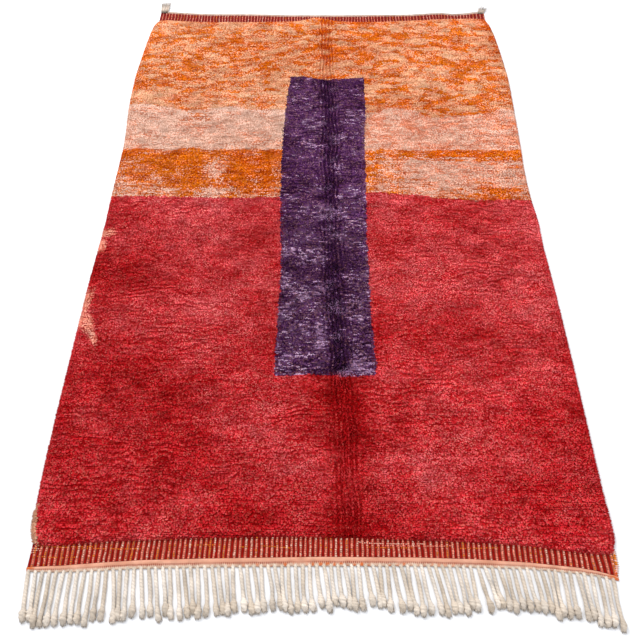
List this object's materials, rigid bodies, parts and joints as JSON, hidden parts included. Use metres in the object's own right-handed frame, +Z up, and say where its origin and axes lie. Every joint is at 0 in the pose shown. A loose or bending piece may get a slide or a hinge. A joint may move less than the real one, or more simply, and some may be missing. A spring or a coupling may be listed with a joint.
{
  "type": "beni mrirt rug",
  "caption": "Hand-knotted shag wool rug lying flat, with striped flat-woven ends, a knotted cord fringe along one end and small warp tufts at the other end's corners",
  "frame": {"origin": "on the floor under the middle of the whole rug, its fringe and tufts included", "axes": "+X across the rug, +Y along it away from the fringed end, +Z up from the floor"},
  "size_m": [1.9196, 3.263, 0.0272],
  "materials": {
    "pile_wool": "matte",
    "flat_weave_wool": "matte",
    "warp_wool": "matte"
  },
  "bodies": {
    "root": {"pile_field": "pile_wool", "kilim_near": "flat_weave_wool", "kilim_far": "flat_weave_wool", "fringe_near": "warp_wool", "corner_tuft_left": "warp_wool", "corner_tuft_right": "warp_wool"}
  },
  "joints": []
}
